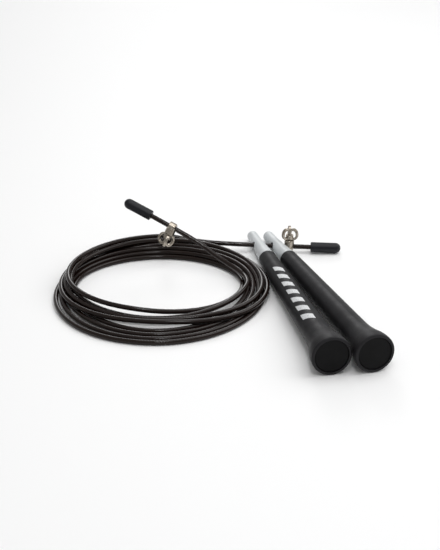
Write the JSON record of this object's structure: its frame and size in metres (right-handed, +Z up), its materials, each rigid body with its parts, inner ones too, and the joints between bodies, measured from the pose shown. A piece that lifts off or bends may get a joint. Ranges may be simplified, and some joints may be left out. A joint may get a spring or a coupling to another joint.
{
  "type": "jump rope",
  "caption": "Speed jump rope: two slim tapered handles with ball-bearing swivel heads, a coated steel cable coiled beside them, thumbscrew clamps and cable end caps.",
  "frame": {"origin": "on the table, under the middle of the pair of handles", "axes": "+Z is up, +Y runs along the pair of handles from their butts to their heads, and the coil of cable lies on the -X side"},
  "size_m": [0.1751, 0.1726, 0.0356],
  "materials": {
    "grip_black": "satin moulded",
    "plug_black": "satin moulded",
    "head_grey": "semi-matt, pale silver grey",
    "plain_steel": "turned",
    "bearing_steel": "ground",
    "cage_nylon": "natural nylon",
    "cable_jacket": "glossy extruded jacket over steel cable",
    "clamp_nickel": "nickel plated",
    "cap_black": "satin dipped vinyl"
  },
  "bodies": {
    "cable": {"cable_coil": "cable_jacket", "cable_handle_run": "cable_jacket", "cable_tail": "cable_jacket"},
    "left_head": {"left_swivel_head": "head_grey", "left_spindle_screw": "plain_steel", "left_thrust_washer": "plain_steel", "left_bearing_spacer": "plain_steel", "left_front_bearing_inner_ring": "bearing_steel", "left_rear_bearing_inner_ring": "bearing_steel"},
    "left_grip": {"left_grip": "grip_black", "left_butt_plug": "plug_black", "left_front_bearing_outer_ring": "bearing_steel", "left_rear_bearing_outer_ring": "bearing_steel"},
    "left_balls": {"left_bearing_balls": "bearing_steel", "left_bearing_cages": "cage_nylon"},
    "right_head": {"right_swivel_head": "head_grey", "right_spindle_screw": "plain_steel", "right_thrust_washer": "plain_steel", "right_bearing_spacer": "plain_steel", "right_front_bearing_inner_ring": "bearing_steel", "right_rear_bearing_inner_ring": "bearing_steel"},
    "right_grip": {"right_grip": "grip_black", "right_butt_plug": "plug_black", "right_front_bearing_outer_ring": "bearing_steel", "right_rear_bearing_outer_ring": "bearing_steel"},
    "right_balls": {"right_bearing_balls": "bearing_steel", "right_bearing_cages": "cage_nylon"},
    "handle_clamp": {"handle_clamp_collar": "clamp_nickel"},
    "handle_clamp_screw": {"handle_clamp_screw": "clamp_nickel"},
    "handle_clamp_thumb": {"handle_clamp_thumb_loops": "clamp_nickel"},
    "tail_clamp": {"tail_clamp_collar": "clamp_nickel"},
    "tail_clamp_screw": {"tail_clamp_screw": "clamp_nickel"},
    "tail_clamp_thumb": {"tail_clamp_thumb_loops": "clamp_nickel"},
    "handle_end_cap": {"handle_end_cap": "cap_black"},
    "tail_end_cap": {"tail_end_cap": "cap_black"}
  },
  "joints": [
    {"name": "left_head_swing", "type": "hinge", "parent": "cable", "child": "left_head", "pos_m": [-0.00521, 0.06619, 0.00438], "axis": [-0.9585, 0.2839, 0.0244], "range_deg": [0, 90]},
    {"name": "left_grip_spin", "type": "hinge", "parent": "left_head", "child": "left_grip", "pos_m": [-0.00521, 0.06619, 0.00425], "axis": [0.0384, 0.9983, -0.0439], "continuous": true},
    {"name": "left_ball_orbit", "type": "hinge", "parent": "left_head", "child": "left_balls", "pos_m": [-0.00521, 0.06619, 0.00425], "axis": [0.0384, 0.9983, -0.0439], "continuous": true},
    {"name": "right_head_swing", "type": "hinge", "parent": "cable", "child": "right_head", "pos_m": [0.00521, 0.0631, 0.00411], "axis": [-0.9585, 0.2839, 0.0244], "range_deg": [0, 25]},
    {"name": "right_grip_spin", "type": "hinge", "parent": "right_head", "child": "right_grip", "pos_m": [0.00521, 0.0631, 0.00425], "axis": [-0.0384, 0.9983, -0.0439], "continuous": true},
    {"name": "right_ball_orbit", "type": "hinge", "parent": "right_head", "child": "right_balls", "pos_m": [0.00521, 0.0631, 0.00425], "axis": [-0.0384, 0.9983, -0.0439], "continuous": true},
    {"name": "handle_clamp_slide", "type": "slide", "parent": "cable", "child": "handle_clamp", "axis": [0.9585, -0.2839, -0.0244], "range_m": [0, 0.01]},
    {"name": "handle_clamp_screw_travel", "type": "slide", "parent": "handle_clamp", "child": "handle_clamp_screw", "axis": [0.0234, -0.0069, 0.9997], "range_m": [0, 0.0009]},
    {"name": "handle_clamp_screw_turn", "type": "hinge", "parent": "handle_clamp_screw", "child": "handle_clamp_thumb", "pos_m": [0.01216, 0.06104, 0.00394], "axis": [0.0234, -0.0069, 0.9997], "range_deg": [0, 725]},
    {"name": "tail_clamp_slide", "type": "slide", "parent": "cable", "child": "tail_clamp", "axis": [-0.7562, 0.5474, 0.3584], "range_m": [0, 0.01]},
    {"name": "tail_clamp_screw_travel", "type": "slide", "parent": "tail_clamp", "child": "tail_clamp_screw", "axis": [-0.4573, -0.0505, -0.8879], "range_m": [0, 0.0009]},
    {"name": "tail_clamp_screw_turn", "type": "hinge", "parent": "tail_clamp_screw", "child": "tail_clamp_thumb", "pos_m": [-0.05798, 0.06736, 0.0221], "axis": [-0.4573, -0.0505, -0.8879], "range_deg": [0, 725]},
    {"name": "handle_end_cap_pull", "type": "slide", "parent": "cable", "child": "handle_end_cap", "axis": [0.9585, -0.2839, -0.0244], "range_m": [0, 0.014]},
    {"name": "tail_end_cap_pull", "type": "slide", "parent": "cable", "child": "tail_end_cap", "axis": [-0.7562, 0.5474, 0.3584], "range_m": [0, 0.014]}
  ],
  "couplings": [
    {"joint": "left_ball_orbit", "follows": "left_grip_spin", "ratio": 0.61},
    {"joint": "right_ball_orbit", "follows": "right_grip_spin", "ratio": 0.61},
    {"joint": "handle_clamp_screw_turn", "follows": "handle_clamp_screw_travel", "rad_per_m": 13963},
    {"joint": "tail_clamp_screw_turn", "follows": "tail_clamp_screw_travel", "rad_per_m": 13963}
  ]
}
